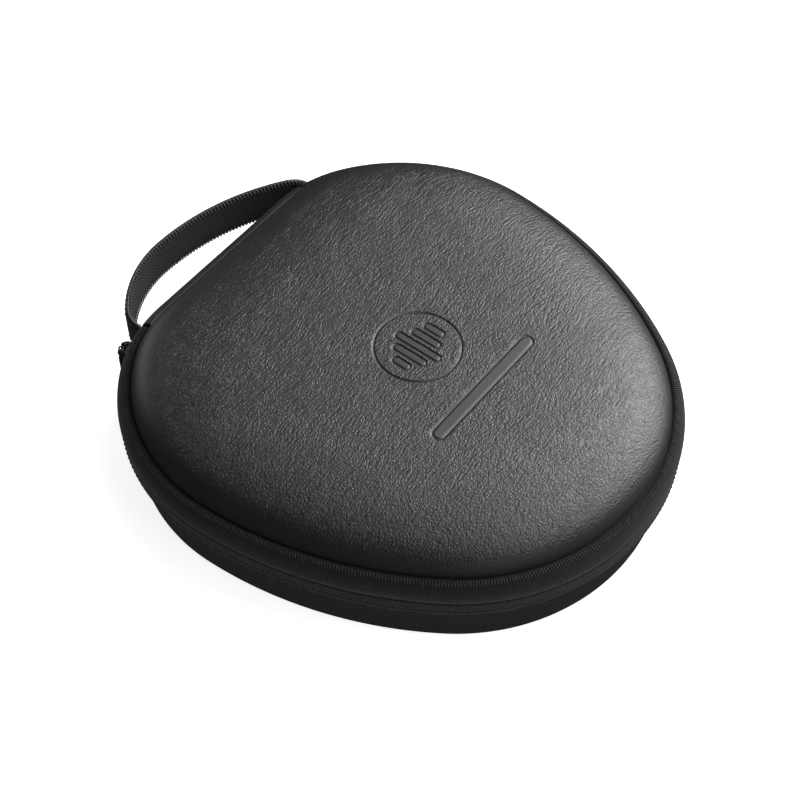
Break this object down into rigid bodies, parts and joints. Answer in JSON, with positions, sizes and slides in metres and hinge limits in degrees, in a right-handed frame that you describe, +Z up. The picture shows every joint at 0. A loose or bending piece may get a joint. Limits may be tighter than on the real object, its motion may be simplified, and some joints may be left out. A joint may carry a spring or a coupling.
{
  "type": "headphone carrying case",
  "caption": "Hard moulded zip case for over-ear headphones: crowned leather lid, knit-taped rim, flat base, hinge along the straight back, side strap handle.",
  "frame": {"origin": "centre of the flat bottom face, which rests on a table", "axes": "+Z up through the lid, +Y towards the straight hinge edge and the strap handle, +X to the right seen from the round front"},
  "size_m": [0.228, 0.2561, 0.0616],
  "materials": {
    "lid_leather": "pebbled grain with long creases, satin",
    "base_leather": "fine smooth grain, satin",
    "hinge_leather": "smooth, semi-gloss",
    "strap_leather": "smooth, satin",
    "shell_foam": "moulded foam, matte",
    "lining_fabric": "brushed fabric, matte",
    "divider_fabric": "brushed fabric over foam, matte",
    "zip_tape": "ribbed knit tape, matte",
    "zip_coil": "nylon coil, satin",
    "zip_metal": "black painted metal, semi-gloss",
    "pull_rubber": "matte",
    "pocket_mesh": "open mesh",
    "pocket_elastic": "ribbed elastic",
    "strap_webbing": "fine woven webbing with overlocked edges"
  },
  "bodies": {
    "base": {"base_cover": "base_leather", "base_core": "shell_foam", "base_lining": "lining_fabric", "lower_zip_tape": "zip_tape", "lower_zip_coil": "zip_coil", "zip_stops": "zip_metal", "hinge_leather_lower": "hinge_leather", "cup_divider": "divider_fabric", "handle_end_left": "strap_leather", "handle_end_right": "strap_leather"},
    "lid": {"lid_cover": "lid_leather", "lid_core": "shell_foam", "lid_lining": "lining_fabric", "upper_zip_tape": "zip_tape", "upper_zip_coil": "zip_coil", "hinge_leather_upper": "hinge_leather", "mesh_pocket": "pocket_mesh", "pocket_binding": "pocket_elastic"},
    "handle": {"handle_leather": "strap_leather", "handle_webbing": "strap_webbing"},
    "slider": {"slider_body": "zip_metal", "slider_bail": "zip_metal"},
    "pull": {"pull_ring": "zip_metal", "pull_tab": "pull_rubber"}
  },
  "joints": [
    {"name": "lid_hinge", "type": "hinge", "parent": "base", "child": "lid", "pos_m": [0, 0.11428, 0.0388], "axis": [-1, 0, 0], "range_deg": [0, 90]},
    {"name": "handle_swing", "type": "hinge", "parent": "base", "child": "handle", "pos_m": [0, 0.11518, 0.03], "axis": [1, 0, 0], "range_deg": [-40, 0], "stiffness_Nm_per_rad": 0.03, "springref_deg": 8.59},
    {"name": "slider_travel", "type": "hinge", "parent": "base", "child": "slider", "pos_m": [-0.02666, 0.03208, 0.0344], "axis": [0, 0, 1], "range_deg": [0, 66]},
    {"name": "pull_swing", "type": "hinge", "parent": "slider", "child": "pull", "pos_m": [-0.06284, 0.11607, 0.0344], "axis": [0.9184, 0.3955, 0], "range_deg": [0, 100]}
  ]
}
